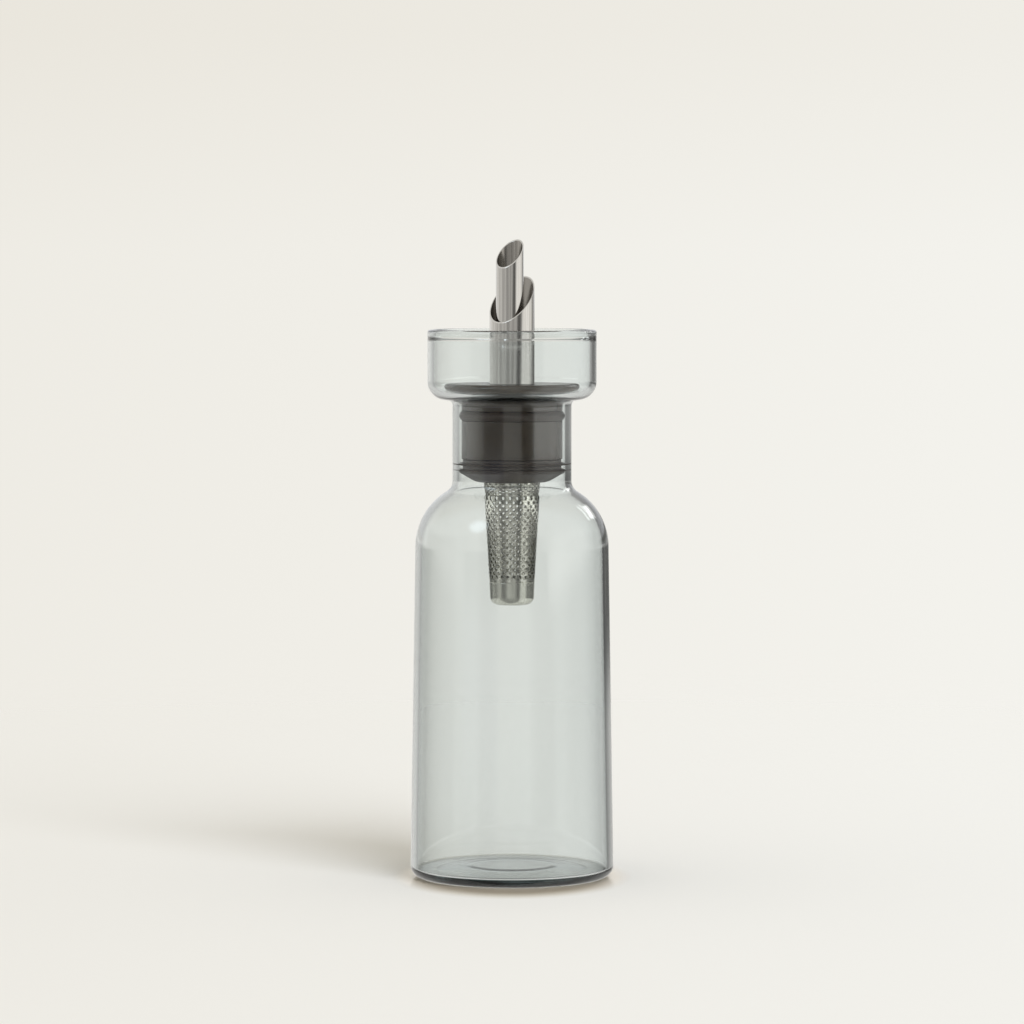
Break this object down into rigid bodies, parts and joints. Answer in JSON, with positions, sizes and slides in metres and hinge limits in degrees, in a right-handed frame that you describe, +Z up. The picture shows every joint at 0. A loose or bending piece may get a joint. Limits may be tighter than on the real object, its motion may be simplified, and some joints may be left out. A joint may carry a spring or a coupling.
{
  "type": "oil and vinegar dispenser",
  "caption": "Glass oil and vinegar bottle with a flared drip cup, a sealed stopper carrying a slanted tube-in-tube pouring spout, and a perforated strainer hanging inside.",
  "frame": {"origin": "centre of the foot, on the plane that the bottle stands on", "axes": "+Z up along the bottle's axis, +X towards the spout's high lip, the way it pours"},
  "size_m": [0.0662, 0.0662, 0.2077],
  "materials": {
    "tinted_glass": "clear, pale grey-green tint, fire-polished rim",
    "plug_plastic": "matt anthracite moulding",
    "seal_rubber": "matt dark silicone",
    "tube_steel": "drawn tube, finely brushed along its length",
    "bush_plastic": "matt",
    "strainer_steel": "perforated and drawn sheet, satin"
  },
  "bodies": {
    "bottle": {"glass_bottle": "tinted_glass"},
    "seals": {"upper_seal": "seal_rubber", "lower_seal": "seal_rubber"},
    "stopper": {"stopper_plug": "plug_plastic", "drip_tube": "tube_steel", "pour_tube": "tube_steel", "tube_spacer": "bush_plastic"},
    "strainer": {"strainer_sleeve": "strainer_steel", "strainer_base": "strainer_steel"}
  },
  "joints": [
    {"name": "stopper_pull", "type": "slide", "parent": "bottle", "child": "seals", "axis": [0, 0, 1], "range_m": [0, 0.136]},
    {"name": "stopper_turn", "type": "hinge", "parent": "seals", "child": "stopper", "pos_m": [0, 0, 0.145], "axis": [0, 0, 1], "continuous": true},
    {"name": "strainer_pull", "type": "slide", "parent": "stopper", "child": "strainer", "axis": [0, 0, -1], "range_m": [0, 0.045]}
  ]
}
